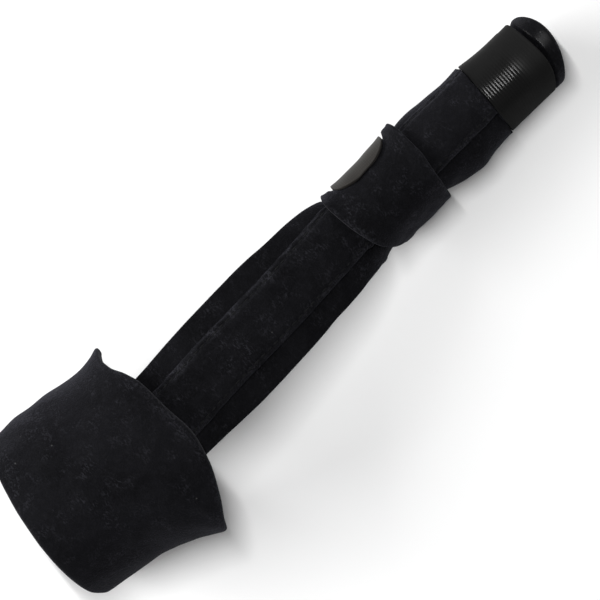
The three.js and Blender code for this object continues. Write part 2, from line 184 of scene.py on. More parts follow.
def angle_at(distance, half_breadth, half_depth):
    """The angle on an oval, from its top, that lies a cloth distance round it."""
    angles = np.linspace(0, 1.5 * math.pi, 121)
    step = angles[1]
    middles = angles[1:] - step / 2
    breadth, depth = half_breadth[..., None], half_depth[..., None]
    speeds = np.hypot(breadth * np.cos(middles), depth * np.sin(middles))
    lengths = np.cumsum(speeds * step, axis=-1)
    size = np.abs(distance)[..., None]
    i = np.minimum((lengths < size).sum(axis=-1, keepdims=True), len(middles) - 1)
    before = np.take_along_axis(lengths - speeds * step, i, axis=-1)
    part = (size - before) / (np.take_along_axis(speeds, i, axis=-1) * step)
    return np.sign(distance) * ((i + part) * step)[..., 0]


def sag(x, distance):
    """The unevenness that all layers of the strip share, with puckers beside the strap and the tape. There
    is none under the cuff, and little under the taut tape."""
    broad = BROAD_SAG * waves(x, distance, BROAD_LENGTH, seed=3)
    fine = FINE_SAG * waves(x, distance, FINE_LENGTH, seed=4)
    puckers = np.sin(distance / PUCKER_SCALE + 1.3 * waves(x, distance, PUCKER_DRIFT, seed=5))
    gathered = bell(x, PUCKERS_LOW, PUCKERS_REACH) + 0.8 * bell(x, PUCKERS_HIGH, PUCKERS_REACH)
    free = smoothstep(x, HELD_BY_CUFF_TO, FREE_FROM) * (1 - 0.85 * smoothstep(x, TAUT_FROM, TAUT_TO))
    return (broad + fine + PUCKER_DEPTH * puckers * gathered) * free


def shoulder_lean(x, distance):
    """How far the sleeve's sections beside the tape lean with the tape's low rim."""
    return (TIP_TAPE("low", distance) - SHOULDER) * bell(x, SHOULDER, SHOULDER_REACH)


def on_strip(x, distance, height):
    """Points at a cloth distance to the left of the centre line and a height off the strip's outer face."""
    upright = x - shoulder_lean(x, distance)
    breadth, depth = STRIP("half_breadth", upright), STRIP("half_depth", upright)
    angle = angle_at(distance, breadth, depth)
    out_y, out_z = np.sin(angle) / breadth, np.cos(angle) / depth
    reach = (height + sag(x, distance)) / np.hypot(out_y, out_z)
    y = STRIP("mid", upright) + breadth * np.sin(angle) + out_y * reach
    z = STRIP("top", upright) - depth + depth * np.cos(angle) + out_z * reach
    z = np.maximum(z, np.maximum(STRIP("rest", upright) - height, 0))
    return np.stack([x - MIDDLE[0], y - MIDDLE[1], z], axis=-1)


def end_cut(from_middle):
    """The share of an end's rounding at a distance from its middle."""
    return 1 - np.exp(-((from_middle / CUT_WIDTH) ** 2))


def rounded_ends(x, distance):
    """Where the strip's sections lie: both ends are rounded, and on each side of the tape one runs along
    its rim."""
    start_shift = START_CUT * end_cut(distance) * (1 - smoothstep(x, STRIP_START, START_CUT_TO))
    neck_shift = TIP_TAPE("high", distance) + LAYER_GAP - TIP_NECK
    tip_shift = -TIP_CUT * end_cut(distance - TIP_CUT_MID)
    past_neck = np.maximum(0, (x - TIP_NECK) / (STRIP_TIP - TIP_NECK))
    before_neck = neck_shift * smoothstep(x, TIP_SLANT_FROM, TIP_NECK)
    tip_lean = before_neck + (tip_shift - before_neck) * past_neck
    return x + start_shift + shoulder_lean(x, distance) + tip_lean


def rounded(inside, edge):
    """The share of a cloth's thickness at a distance inside its cut edge: a blunt, rounded rim."""
    short = 1 - np.clip(inside / edge, 0, 1)
    return (1 - short**3) ** (1 / 3)


def stations(start, end, pitch, edge):
    """Places from start to end on an even pitch, and closer together in the rounded edge at each end."""
    turns = np.linspace(0, math.pi / 2, EDGE_STEPS + 1)[:-1]
    rounding = edge * (1 - np.cos(turns) ** (2 / 3))
    steps = max(2, round((end - start - 2 * edge) / pitch))
    even = np.linspace(start + edge, end - edge, steps + 1)
    return np.concatenate([start + rounding, even, (end - rounding)[::-1]])


def along_strip(start, end, edge):
    """Places along the strip, with closer ones in the shoulder beside the tape."""
    return np.sort(np.append(stations(start, end, PAD_PITCH, edge), SHOULDER_STATIONS))


def cloth_shell(name, full, place, **marks):
    """A closed shell of cloth on a grid. full is the share of its thickness, none at the rim, where its
    faces meet. place(share) gives the grid's points at a share of the way from the inner to the outer face.
    marks are values on the grid that the finish reads."""
    rows, columns = full.shape
    outer = np.arange(rows * columns).reshape(rows, columns)
    inner = outer.copy()
    within = (rows - 2, columns - 2)
    inner[1:-1, 1:-1] = rows * columns + np.arange(math.prod(within)).reshape(within)

    def quads(at):
        corners = [at[:-1, :-1], at[1:, :-1], at[1:, 1:], at[:-1, 1:]]
        return np.stack(corners, axis=-1).reshape(-1, 4)

    def both(values_out, values_in):
        inside = values_in[1:-1, 1:-1]
        depth = values_out.shape[2:]
        return np.concatenate([values_out.reshape(-1, *depth), inside.reshape(-1, *depth)])

    points = both(place(0.5 + full / 2), place(0.5 - full / 2))
    faces = np.concatenate([quads(outer), quads(inner)[:, ::-1]])
    a, b, c, d = (points[faces[:, k]] for k in range(4))
    if np.einsum("ij,ij->", a, np.cross(c - a, d - b)) < 0:
        faces = faces[:, ::-1]
    mesh = bpy.data.meshes.new(name)
    mesh.from_pydata(points.tolist(), [], faces.tolist())
    marks = {"cut": 1 - full, "outside": np.ones_like(full)} | marks
    for mark, values in marks.items():
        inside = np.zeros_like(values) if mark in ("outside", "ribbed") else values
        attribute = mesh.attributes.new(mark, "FLOAT", "POINT")
        attribute.data.foreach_set("value", both(values, inside).astype(np.float32))
    mesh.shade_smooth()
    piece = bpy.data.objects.new(name, mesh)
    bpy.context.scene.collection.objects.link(piece)
    return piece


class Value:
    """An output of a node. Arithmetic on it adds Math nodes to its tree."""

    def __init__(self, nodes, socket):
        self.nodes = nodes
        self.socket = socket

    def _math(self, operation, first, second):
        return self.nodes.node("ShaderNodeMath", {"operation": operation}, {0: first, 1: second})

    def __add__(self, other):
        return self._math("ADD", self, other)

    def __mul__(self, other):
        return self._math("MULTIPLY", self, other)

    def __truediv__(self, other):
        return self._math("DIVIDE", self, other)

    def __rsub__(self, other):
        return self._math("SUBTRACT", other, self)

    __radd__ = __add__
    __rmul__ = __mul__


class Nodes:
    """A node tree that is being built."""

    def __init__(self, tree):
        self.tree = tree

    def node(self, kind, settings=None, sockets=None, output=0):
        """Adds a node, sets it up, fills or links its sockets, and gives one of its outputs."""
        made = self.tree.nodes.new(kind)
        for setting, value in (settings or {}).items():
            setattr(made, setting, value)
        for socket, value in (sockets or {}).items():
            if isinstance(value, Value):
                self.tree.links.new(value.socket, made.inputs[socket])
            else:
                made.inputs[socket].default_value = value
        return Value(self, made.outputs[output]) if len(made.outputs) else made


class Finish(Nodes):
    """A material that is being built, on one shader."""

    def __init__(self, name):
        self.material = bpy.data.materials.new(name)
        self.material.use_nodes = True
        super().__init__(self.material.node_tree)
        self.tree.nodes.clear()
        self.place = self.node("ShaderNodeTexCoord", output="Object")

    def noise(self, size, detail=2.0, rough=0.5, curl=0.0, place=None):
        """Noise with grains of about that size, between 0 and 1."""
        sockets = {"Vector": place or self.place, "Scale": 1 / size, "Distortion": curl}
        sockets |= {"Detail": detail, "Roughness": rough}
        return self.node("ShaderNodeTexNoise", sockets=sockets)

    def stretched(self, turn, share):
        """Places for a pattern that is drawn out along one way, in which its scale is only a share."""
        sockets = {"Vector": self.place, "Rotation": (0.4, 0.3, turn), "Scale": (1, share, 1)}
        return self.node("ShaderNodeMapping", sockets=sockets)

    def ramp(self, value, start, end):
        """0 at start and 1 at end, with soft ends."""
        sockets = {"Value": value, "From Min": start, "From Max": end}
        return self.node("ShaderNodeMapRange", {"interpolation_type": "SMOOTHSTEP"}, sockets)

    def mark(self, name):
        """A value that the piece's mesh holds."""
        return self.node("ShaderNodeAttribute", {"attribute_name": name}, output="Fac")

    def blend(self, share, first, second):
        """The first colour, turning to the second with share."""
        return self.node("ShaderNodeMix", {"data_type": "RGBA"}, {0: share, 6: first, 7: second}, output=2)

    def bump(self, height, depth, strength=1.0):
        sockets = {"Height": height, "Distance": depth, "Strength": strength}
        return self.node("ShaderNodeBump", sockets=sockets)

    def shader(self, **sockets):
        """Ends the material in a shader. Socket names have _ for their spaces."""
        named = {name.replace("_", " "): value for name, value in sockets.items()}
        surface = self.node("ShaderNodeBsdfPrincipled", sockets=named)
        self.node("ShaderNodeOutputMaterial", sockets={"Surface": surface})
        return self.material


def grey(level, warmth=0.0):
    return (level * (1 + warmth), level, level * (1 - warmth), 1)


def ink(level):
    """A black with a breath of blue."""
    return (level, level, level * 1.2, 1)


def velour(name, shade, lint=0.5):
    """Brushed velour: deep black, with a short nap that lies in patches and catches the light differently
    there. The tips of the nap carry a painted highlight: short paler wisps in clusters, painted in as
    glints.
    Along a crest the colour is painted paler as a highlight, a worn part is smoother, a few specks of lint
    stick to it, and the foam in its cut edges is a dull dark grey."""
    finish = Finish(name)
    lay = finish.ramp(finish.noise(17 * MM, 3), 0.36, 0.66)
    clumps = finish.ramp(finish.noise(2.4 * MM, 3, 0.6), 0.4, 0.68)
    nap = finish.ramp(finish.noise(0.42 * MM, 2, 0.7), 0.3, 0.72)
    bright = nap * 0.35 + clumps * 0.25 + lay * 0.4
    colour = finish.blend(bright, ink(shade * 0.5), ink(shade * 1.6))
    one_way = finish.noise(0.6 * MM, 1, curl=0.8, place=finish.stretched(0.5, 0.5))
    other_way = finish.noise(0.6 * MM, 1, curl=0.8, place=finish.stretched(2.0, 0.5))
    glint_wisps = finish.ramp(one_way, 0.55, 0.68) + finish.ramp(other_way, 0.55, 0.68)
    clusters = finish.ramp(finish.noise(4.5 * MM, 2), 0.46, 0.68)
    # Painted highlight: the nap's tips are painted as paler glinting wisps, in clusters.
    colour = finish.blend(glint_wisps * (0.08 + 0.5 * clusters), colour, ink(shade * 4.2))
    # Painted highlight along crests: where the mark is high, the colour is painted paler in speckled
    # patches.
    crest = finish.mark("crest") * (0.15 + 0.85 * finish.ramp(glint_wisps + nap * 0.6, 0.3, 0.9))
    colour = finish.blend(crest, colour, ink(shade * 6))
    cut = finish.ramp(finish.mark("cut"), 0.1, 0.5)
    colour = finish.blend(cut * (0.55 + 0.3 * nap), colour, grey(shade * 5))
    cells = finish.node("ShaderNodeTexVoronoi", sockets={"Vector": finish.place, "Scale": 1 / (4.2 * MM)})
    few = finish.ramp(finish.noise(6.5 * MM, 1), 0.64 - 0.1 * lint, 0.70 - 0.1 * lint)
    speck = (1 - finish.ramp(cells, 0.03, 0.08)) * few
    colour = finish.blend(speck, colour, grey(0.05))
    height = clumps * 0.4 + nap * 0.4 + glint_wisps * 0.2
    return finish.shader(
        Base_Color=colour,
        Roughness=0.97 - 0.12 * nap,
        Normal=finish.bump(height, 0.25 * MM, 0.7),
        Specular_IOR_Level=0.05,
        Coat_Weight=finish.mark("worn") * 0.2,
        Coat_Roughness=0.27,
        Sheen_Weight=0.05,
        Sheen_Roughness=0.46,
        Sheen_Tint=(0.78, 0.79, 1.0, 1),
    )


def dress(piece, material, slot, *nodes):
    """Gives a finished piece its material, and puts it on the brace in place of the nodes it stands for."""
    piece.data.materials.clear()
    piece.data.materials.append(material)
    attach(piece, BODY)
    if nodes:
        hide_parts(*nodes)
    return piece


def strip_and_sleeve():
    along = along_strip(STRIP_START, STRIP_TIP, PAD_EDGE)
    across = stations(-1, 1, 2 * (1 - WING_EDGE) / WING_STEPS, WING_EDGE)
    x, q = np.meshgrid(along, across, indexing="ij")
    wing = STRIP("wing", x)
    distance = q * wing
    inside = np.minimum(x - STRIP_START, STRIP_TIP - x)
    full = rounded(inside, PAD_EDGE) * rounded(wing - np.abs(distance), PAD_EDGE)
    trimmed = rounded_ends(x, distance)
    swell = TIP_SWELL * smoothstep(x, TIP_NECK, TIP_NECK + TIP_SWELL_LENGTH)

    def place(share):
        return on_strip(trimmed, distance, swell + PAD_CLOTH * (share - 1))

    worn = smoothstep(x, TIP_NECK, TIP_NECK + WORN_LENGTH) * bell(distance, WORN_MIDDLE, WORN_WIDTH)
    return cloth_shell("strip_cloth", full, place, crest=np.zeros_like(full), worn=worn)


strip = dress(strip_and_sleeve(), velour("strip_velour", 0.0037), "pad_velour", "splint_pad")

# The pocket down the middle of the strip: a second layer of velour, sewn down along both edges over a
# flat stiff core, so that it stands up square. A row of stitches runs just inside each edge and pulls a
# groove, and outside the groove the folded edge stands up as a bead. Along each bead's crest a painted
# highlight runs, stronger on the left edge.
POCKET_HALF = 8.7 * MM
POCKET_RISE = 1.8 * MM
POCKET_THIN = 0.6 * MM
POCKET_START = -87 * MM
POCKET_TIP = 97 * MM
POCKET_CROWN = 6
POCKET_EDGE = 0.9 * MM
POCKET_PITCH = 0.26 * MM
SEAM_AT = 7 * MM
SEAM_WIDTH = 0.55 * MM
SEAM_DEPTH = 0.45 * MM
BEAD_RISE = 0.18 * MM
BEAD_WIDTH = 1.5 * MM
BEAD_LENGTH = 5 * MM
CREST_LENGTH = 8 * MM
LEFT_CREST_IN = 1.3 * MM
LEFT_CREST_WIDTH = 1.1 * MM
RIGHT_CREST_IN = 0.9 * MM
RIGHT_CREST_WIDTH = 0.7 * MM
STITCH_PITCH = 2.6 * MM


def pocket_rise(x, distance):
    """How thick the pocket is: its square crown, less its seams' grooves, with uneven beads outside them."""
    aside = np.abs(distance - STRIP("pocket_mid", x))
    crown = np.sqrt(1 - np.minimum(aside / POCKET_HALF, 1) ** POCKET_CROWN)
    pull = 0.8 + 0.2 * np.cos(2 * math.pi * x / STITCH_PITCH)
    groove = SEAM_DEPTH * pull * bell(aside, SEAM_AT, SEAM_WIDTH)
    uneven = waves(x, 3 * distance, BEAD_LENGTH, seed=11)
    bead = BEAD_RISE * uneven * bell(aside, POCKET_HALF, BEAD_WIDTH)
    return np.maximum(POCKET_RISE * crown, POCKET_THIN) - groove + bead


def stay_pocket():
    along = along_strip(POCKET_START, POCKET_TIP, POCKET_EDGE)
    across = stations(-POCKET_HALF, POCKET_HALF, POCKET_PITCH, POCKET_EDGE)
    x, q = np.meshgrid(along, across, indexing="ij")
    distance = STRIP("pocket_mid", x) + q
    inside = np.minimum(x - POCKET_START, POCKET_TIP - x)
    full = rounded(inside, POCKET_EDGE) * rounded(POCKET_HALF - np.abs(q), POCKET_EDGE)
    # Painted highlight along each bead's crest, stronger on the left edge and in patches.
    left = bell(q, POCKET_HALF - LEFT_CREST_IN, LEFT_CREST_WIDTH)
    right = bell(q, RIGHT_CREST_IN - POCKET_HALF, RIGHT_CREST_WIDTH)
    patchy = 0.4 + 0.7 * waves(x, 0.4 * q, CREST_LENGTH, seed=12)
    crest = np.clip((left + 0.6 * right) * patchy, 0, 1)

    def place(share):
        height = LAYER_GAP + pocket_rise(x, distance) * share
        return on_strip(x + shoulder_lean(x, distance), distance, height)

    return cloth_shell("pocket_cloth", full, place, crest=crest, cut=np.zeros_like(full))


pocket = dress(stay_pocket(), velour("pocket_velour", 0.0044), "pocket_velour", "stay_pocket")

# The pocket's two rows of stitches: black thread, a little glossier than the velour, sewn through all
# layers. Each stitch lies in the groove that the row pulls.
STITCH_LENGTH = 2.1 * MM
STITCH_THICK = 0.5 * MM
STITCH_FLAT = 0.8
STITCH_SHORTEST = 0.82
STITCH_LONGEST = 1.1
STITCH_SEGMENTS = 8
STITCH_RINGS = 6
STITCH_SEED = 7
ROW_START = -84 * MM
ROW_TIP = 94 * MM


def sewing_tree(name, material):
    """A geometry tree that lays stitches along a mesh of edges, whose points hold the way up off the cloth.
    A stitch is a ball one unit across, drawn out to its sizes."""
    tree = bpy.data.node_groups.new(name, "GeometryNodeTree")
    for label, kind in (
        ("Seam lines", "NodeSocketGeometry"),
        ("Stitch pitch", "NodeSocketFloat"),
        ("Stitch length", "NodeSocketFloat"),
        ("Stitch thickness", "NodeSocketFloat"),
        ("Seed", "NodeSocketInt"),
    ):
        tree.interface.new_socket(label, in_out="INPUT", socket_type=kind)
    tree.interface.new_socket("Stitches", in_out="OUTPUT", socket_type="NodeSocketGeometry")
    nodes = Nodes(tree)
    inputs = tree.nodes.new("NodeGroupInput")
    lines, pitch, length, thick, seed = (Value(nodes, socket) for socket in inputs.outputs[:5])
    curve = nodes.node("GeometryNodeMeshToCurve", sockets={"Mesh": lines})
    even = nodes.node("GeometryNodeResampleCurve", {"mode": "LENGTH"}, {"Curve": curve, "Length": pitch})
    along = nodes.node("GeometryNodeInputTangent")
    up = nodes.node("GeometryNodeInputNamedAttribute", {"data_type": "FLOAT_VECTOR"}, {"Name": "up"})
    turn = nodes.node("FunctionNodeAlignRotationToVector", {"axis": "X"}, {"Vector": along})
    sockets = {"Rotation": turn, "Vector": up}
    turn = nodes.node("FunctionNodeAlignRotationToVector", {"axis": "Z", "pivot_axis": "X"}, sockets)
    sockets = {2: STITCH_SHORTEST, 3: STITCH_LONGEST, "Seed": seed}
    uneven = nodes.node("FunctionNodeRandomValue", {"data_type": "FLOAT"}, sockets, output=1)
    sockets = {0: length * uneven, 1: thick, 2: thick * STITCH_FLAT}
    size = nodes.node("ShaderNodeCombineXYZ", sockets=sockets)
    sockets = {"Segments": STITCH_SEGMENTS, "Rings": STITCH_RINGS, "Radius": 0.5}
    ball = nodes.node("GeometryNodeMeshUVSphere", sockets=sockets)
    smooth = nodes.node("GeometryNodeSetShadeSmooth", sockets={"Geometry": ball})
    sockets = {"Points": even, "Instance": smooth, "Rotation": turn, "Scale": size}
    sewn = nodes.node("GeometryNodeInstanceOnPoints", sockets=sockets)
    real = nodes.node("GeometryNodeRealizeInstances", sockets={"Geometry": sewn})
    dyed = nodes.node("GeometryNodeSetMaterial", sockets={"Geometry": real, "Material": material})
    nodes.node("NodeGroupOutput", sockets={0: dyed})
    return tree


def grown(name, mesh, tree, **inputs):
    """A plain mesh of what a geometry tree makes of another mesh. Inputs have _ for their spaces."""
    piece = bpy.data.objects.new(name, mesh)
    bpy.context.scene.collection.objects.link(piece)
    modifier = piece.modifiers.new(name, "NODES")
    modifier.node_group = tree
    for item in tree.interface.items_tree:
        key = item.name.replace(" ", "_").lower()
        if key in inputs:
            modifier[item.identifier] = inputs[key]
    evaluated = piece.evaluated_get(bpy.context.evaluated_depsgraph_get())
    made = bpy.data.meshes.new_from_object(evaluated)
    piece.modifiers.clear()
    piece.data = made
    return piece


def seam_lines(name, rows):
    """A mesh of edges along rows of points, each row with the points a step off the cloth above it."""
    mesh = bpy.data.meshes.new(name)
    points, ups, edges = [], [], []
    for row, above in rows:
        first = len(points)
        points += row.tolist()
        ups += (above - row).tolist()
        edges += [(first + i, first + i + 1) for i in range(len(row) - 1)]
    mesh.from_pydata(points, edges, [])
    mesh.attributes.new("up", "FLOAT_VECTOR", "POINT").data.foreach_set("vector", np.ravel(ups))
    return mesh


def thread(name, shade):
    """Twisted thread: fine dark turns, slightly glossy."""
    finish = Finish(name)
    twist = finish.noise(0.3 * MM, 2)
    colour = finish.blend(twist, grey(shade * 0.5, -0.08), grey(shade * 1.6, -0.08))
    return finish.shader(
        Base_Color=colour,
        Roughness=0.7 - 0.15 * twist,
        Normal=finish.bump(twist, 0.08 * MM, 0.6),
        Specular_IOR_Level=0.12,
    )


def pocket_row(side):
    """Points along one seam of the pocket, and the points a step above them."""
    x = np.arange(ROW_START, ROW_TIP, STITCH_PITCH / 2)
    distance = STRIP("pocket_mid", x) + side * SEAM_AT
    height = LAYER_GAP + pocket_rise(x, distance)
    return on_strip(x, distance, height), on_strip(x, distance, height + MM)


black_thread = thread("black_thread", 0.0045)
sewing = sewing_tree("pocket_sewing", black_thread)
stitch_sizes = {
    "stitch_pitch": STITCH_PITCH,
    "stitch_length": STITCH_LENGTH,
    "stitch_thickness": STITCH_THICK,
    "seed": STITCH_SEED,
}
pocket_seams = seam_lines("pocket_seams", [pocket_row(-1), pocket_row(1)])
dress(grown("pocket_stitches", pocket_seams, sewing, **stitch_sizes), black_thread, "pocket_velour")

# The wrist cuff: a wide band of velour on thicker foam, wrapped once round and over the strip's end. It is
# cut widest on top and narrow underneath, leans to the left of the strip, and its cut edges show the foam.
CUFF_CLOTH = 3 * MM
CUFF_EDGE = 2.2 * MM
CUFF_ROUND = 165 * MM
CUFF_ROUND_PITCH = 0.9 * MM
CUFF_WIDTH = 52 * MM
CUFF_WIDTH_PITCH = 0.75 * MM
CUFF_PLACE = (-57 * MM, -0.9 * MM)
CUFF_LEAN = math.radians(-9.4)
CUFF_SINK = 1.5 * MM
CUFF_SLIT_TURN = 128
CUFF_SLIT = 1.4
CUFF_TAUT_TURN = 50
CUFF_BROAD_SAG = 0.35 * MM
CUFF_BROAD_LENGTH = 40 * MM
CUFF_FINE_SAG = 0.1 * MM
CUFF_FINE_LENGTH = 11 * MM
CUFF_CREST_IN = 1.2 * MM
CUFF_CREST_WIDTH = 1.4 * MM

# The oval along the cuff: the place of its middle, half its breadth, and the height of its top.
CUFF = Table("x mid half_breadth top", [
    [-45, 0.0, 26.6, 42.7],
    [-38, 0.4, 27.7, 43.3],
    [-30, 0.8, 28.0, 43.5],
    [-20, 0.8, 28.0, 43.5],
    [-14, 0.3, 28.5, 43.5],
    [-8, -0.2, 29.6, 43.2],
    [-3, -0.2, 31.4, 42.7],
    [0, -0.1, 32.7, 42.3],
    [10, 0.0, 33.5, 41.2],
])

# Both rims of the cuff, at each turn in degrees from the top towards the right side.
CUFF_RIM = Table("turn front rear", [
    [-180, -2.0, -38.0],
    [-130, -2.0, -38.4],
    [-90, 0.4, -39.8],
    [-66, -0.6, -42.0],
    [-52, 0.3, -43.0],
    [-40, 3.1, -43.6],
    [-30, 5.2, -44.0],
    [-12, 7.0, -44.6],
    [8, 9.2, -44.7],
    [22, 8.4, -44.4],
    [45, 5.0, -43.2],
    [65, 2.0, -41.6],
    [90, 0.6, -38.6],
    [130, -1.6, -38.2],
    [180, -2.0, -38.0],
], first_unit=1)


def on_cuff(x, turn, height):
    """Points at a turn round the cuff, in degrees, and a height off its outer face. It is uneven except
    where it lies taut over the strip, and flat where it rests."""
    breadth = CUFF("half_breadth", x)
    depth = (CUFF("top", x) + CUFF_SINK) / 2
    angle = np.radians(turn)
    out_y, out_z = np.sin(angle) / breadth, np.cos(angle) / depth
    way_round = angle * depth
    broad = CUFF_BROAD_SAG * waves(x, way_round, CUFF_BROAD_LENGTH, seed=21)
    fine = CUFF_FINE_SAG * waves(x, way_round, CUFF_FINE_LENGTH, seed=22)
    above = height + (broad + fine) * (1 - bell(turn, 0, CUFF_TAUT_TURN))
    reach = above / np.hypot(out_y, out_z)
    across = CUFF("mid", x) - breadth * np.sin(angle) - out_y * reach
    z = depth * np.cos(angle) + out_z * reach + depth - CUFF_SINK
    z = np.maximum(z, np.maximum(-height, 0))
    cos, sin = math.cos(CUFF_LEAN), math.sin(CUFF_LEAN)
    along_row = CUFF_PLACE[0] + x * cos - across * sin - MIDDLE[0]
    across_row = CUFF_PLACE[1] + x * sin + across * cos - MIDDLE[1]
    return np.stack([along_row, across_row, z], axis=-1)


def wrist_cuff():
    start = CUFF_SLIT_TURN + CUFF_SLIT / 2
    end = CUFF_SLIT_TURN + 360 - CUFF_SLIT / 2
    along = stations(0, CUFF_ROUND, CUFF_ROUND_PITCH, CUFF_EDGE)
    across = stations(0, CUFF_WIDTH, CUFF_WIDTH_PITCH, CUFF_EDGE)
    p, q = np.meshgrid(along, across, indexing="ij")
    turn = start + (end - start) * p / CUFF_ROUND
    within = (turn + 180) % 360 - 180
    rear, front = CUFF_RIM("rear", within), CUFF_RIM("front", within)
    x = rear + (front - rear) * q / CUFF_WIDTH
    ends = rounded(np.minimum(p, CUFF_ROUND - p), CUFF_EDGE)
    full = ends * rounded(np.minimum(q, CUFF_WIDTH - q), CUFF_EDGE)

    def place(share):
        return on_cuff(x, turn, CUFF_CLOTH * (share - 1))

    # Painted highlight: a paler band just inside the cuff's front rim, in patches.
    band = 0.4 * bell(CUFF_WIDTH - q, CUFF_CREST_IN, CUFF_CREST_WIDTH)
    crest = np.clip(band * (0.7 + 0.4 * waves(p, q, CREST_LENGTH, seed=23)), 0, 1)
    return cloth_shell("cuff_cloth", full, place, crest=crest)


cuff = dress(wrist_cuff(), velour("cuff_velour", 0.0045, lint=1.0), "cuff_velour", "wrist_cuff")

# The cuff's hook tab: grey hook tape with a round end, sewn to the cuff's end with two rows of stitches.
# Its hooks face the velour, and its smooth woven back shows. It closes the cuff low on the right side.
TAPE_THICK = 1 * MM
TAPE_EDGE = 0.5 * MM
TAB_END_SHARE = 0.2
TAB_CORNER = 2.5
TAB_LENGTH_PITCH = 0.4 * MM
TAB_WIDTH_PITCH = 0.45 * MM
TAB_ROW_INSET = 2 * MM
TAB_ROW_POINTS = 24
CUFF_TAB_TIP_TURN = 112
CUFF_TAB_END_TURN = 146
CUFF_TAB_X = -20 * MM
CUFF_TAB_HALF = 15 * MM
CUFF_TAB_ROUND = 11 * MM
CUFF_TAB_LENGTH = 16 * MM
CUFF_TAB_ROWS = [2 * MM, 4.5 * MM]


def hook_back(name, shade):
    """The smooth back of hook tape: a fine plain weave under a dull coat, paler along its cut edge."""
    finish = Finish(name)
    sockets = {"Vector": finish.place, "Scale": 1 / (2.2 * MM), "Distortion": 0.5, "Detail": 1.0}
    warp = finish.node("ShaderNodeTexWave", {"bands_direction": "X"}, sockets, output="Fac")
    weft = finish.node("ShaderNodeTexWave", {"bands_direction": "Z"}, sockets, output="Fac")
    weave = warp * weft
    mottle = finish.noise(5 * MM, 3)
    colour = finish.blend(mottle * 0.5 + weave * 0.5, grey(shade * 0.75, 0.12), grey(shade * 1.4, 0.11))
    cut = finish.ramp(finish.mark("cut"), 0.2, 0.8)
    colour = finish.blend(cut * 0.5, colour, grey(shade * 1.8, 0.05))
    return finish.shader(
        Base_Color=colour,
        Roughness=0.58 - 0.08 * weave,
        Normal=finish.bump(weave, 0.06 * MM, 0.5),
        Specular_IOR_Level=0.2,
    )


def tab_half(half, round_end, from_tip):
    """Half the width of a tab with a round end, at a distance from the tip of that end."""
    short = 1 - np.minimum(from_tip / round_end, 1)
    return half * np.maximum((1 - short**TAB_CORNER) ** (1 / TAB_CORNER), TAB_END_SHARE)


def hook_tab(name, length, half, round_end, place_tab):
    """A tab cut from tape, round at its tip. place_tab(from_tip, aside, share) puts it where it closes."""
    along = stations(0, length, TAB_LENGTH_PITCH, TAPE_EDGE)
    across = stations(-half, half, TAB_WIDTH_PITCH, TAPE_EDGE)
    from_tip, q = np.meshgrid(along, across, indexing="ij")
    aside = q / half * tab_half(half, round_end, from_tip)
    ends = np.minimum(from_tip, length - from_tip)
    full = rounded(ends, TAPE_EDGE) * rounded(half - np.abs(q), TAPE_EDGE)
    return cloth_shell(name, full, lambda share: place_tab(from_tip, aside, share))


def tab_cut(length, half, round_end, place_tab):
    """A tab's cut width and length, and its flat area, measured along its middle as it lies."""
    from_tip = np.linspace(0, length, 401)
    middle = place_tab(from_tip, np.zeros_like(from_tip), 0.5)
    cut_length = np.linalg.norm(np.diff(middle, axis=0), axis=1).sum()
    mean_width = 2 * tab_half(half, round_end, from_tip).mean()
    return (2 * half, cut_length), mean_width * cut_length


def place_cuff_tab(from_tip, aside, share):
    turn = CUFF_TAB_TIP_TURN + (CUFF_TAB_END_TURN - CUFF_TAB_TIP_TURN) * from_tip / CUFF_TAB_LENGTH
    return on_cuff(CUFF_TAB_X + aside, turn, LAYER_GAP + TAPE_THICK * share)


def tab_rows(length, half, place_tab, from_ends):
    """Rows of stitches across the sewn end of a tab."""
    rows = []
    for from_end in from_ends:
        aside = np.linspace(TAB_ROW_INSET - half, half - TAB_ROW_INSET, TAB_ROW_POINTS)
        from_tip = np.full_like(aside, length - from_end)
        rows.append((place_tab(from_tip, aside, 1), place_tab(from_tip, aside, 2)))
    return rows


grey_hook = hook_back("grey_hook_back", 0.0165)
cuff_tab = hook_tab("cuff_hook_tab", CUFF_TAB_LENGTH, CUFF_TAB_HALF, CUFF_TAB_ROUND, place_cuff_tab)
dress(cuff_tab, grey_hook, "hook_tape", "cuff_tab")
cuff_tab_rows = tab_rows(CUFF_TAB_LENGTH, CUFF_TAB_HALF, place_cuff_tab, CUFF_TAB_ROWS)
cuff_tab_seams = seam_lines("cuff_tab_seams", cuff_tab_rows)
cuff_tab_stitches = grown("cuff_tab_stitches", cuff_tab_seams, sewing, **stitch_sizes)
dress(cuff_tab_stitches, black_thread, "hook_tape")
flat, area = tab_cut(CUFF_TAB_LENGTH, CUFF_TAB_HALF, CUFF_TAB_ROUND, place_cuff_tab)

# The finger strap: a velour strap, thinner than the strip, wrapped once round the sleeve. It is wide
# where it starts on the left, crosses the pocket and narrows on the right. The tab's pull turns its rims
# up on the left.
STRAP_CLOTH = 2 * MM
STRAP_EDGE = 0.9 * MM
STRAP_ROUND_PITCH = 0.55 * MM
STRAP_WIDTH = 28 * MM
STRAP_WIDTH_PITCH = 0.45 * MM
STRAP_START = 22.5 * MM
STRAP_SLIT = 1.6 * MM
STRAP_MIDDLE = 40 * MM
SLOPE_FROM = 5.5 * MM
SLOPE_TO = 15.5 * MM
RIM_LIFT = 0.4 * MM
RIM_ROLL = 0.45 * MM
ROLL_FROM = 30 * MM
ROLL_TO = 46 * MM
RIM_BEAD_FROM = 2.5 * MM
RIM_BEAD_TO = 3.6 * MM
PRESSED = 0.7 * MM
TAB_SIDE = 15 * MM
TAB_SIDE_WIDTH = 8 * MM
STRAP_BROAD_SAG = 0.16 * MM
STRAP_BROAD_LENGTH = 13 * MM
STRAP_FINE_SAG = 0.07 * MM
STRAP_FINE_LENGTH = 5 * MM
STRAP_CREST_LENGTH = 6 * MM
LOW_CREST_IN = 0.7 * MM
